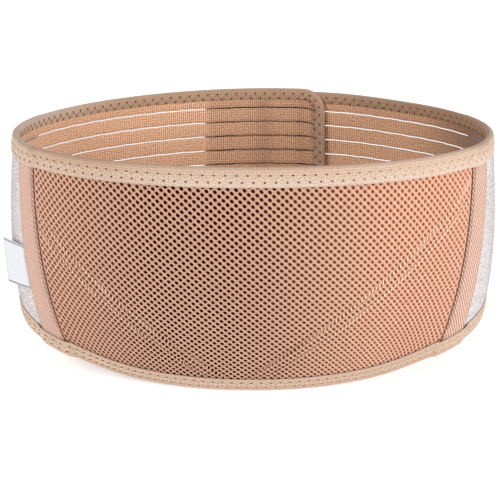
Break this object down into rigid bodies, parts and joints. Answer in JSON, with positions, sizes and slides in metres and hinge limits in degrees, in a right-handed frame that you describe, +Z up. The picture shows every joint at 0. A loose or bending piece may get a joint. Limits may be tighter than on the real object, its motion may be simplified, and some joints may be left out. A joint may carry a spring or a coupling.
{
  "type": "maternity support belt",
  "caption": "Maternity support belt: spacer-mesh belly panel with a V seam, seam tapes, openwork elastic wings closed at the back, and bound edges, standing as a loop.",
  "frame": {"origin": "middle of the footprint box of the standing belt, on the ground it stands on", "axes": "+Z up, -Y to the belly side that the picture shows, +X to the picture's right, along the belt's greatest width"},
  "size_m": [0.3782, 0.3088, 0.2033],
  "materials": {
    "mesh": "matte spacer mesh with round holes",
    "tape": "matte twill tape",
    "binding": "matte folded tape with zigzag stitching",
    "elastic": "woven elastic with open ribs",
    "loop": "brushed loop pile",
    "hook": "hook tape",
    "label": "woven satin label, bare"
  },
  "bodies": {
    "root": {"front_mesh_panel": "mesh", "left_seam_tape": "tape", "right_seam_tape": "tape", "left_loop_panel": "loop", "right_loop_panel": "loop", "left_elastic_wing": "elastic", "right_elastic_wing": "elastic", "front_top_binding": "binding", "front_bottom_binding": "binding", "left_wing_binding": "binding", "right_wing_binding": "binding", "hook_patch": "hook", "side_label": "label"}
  },
  "joints": []
}
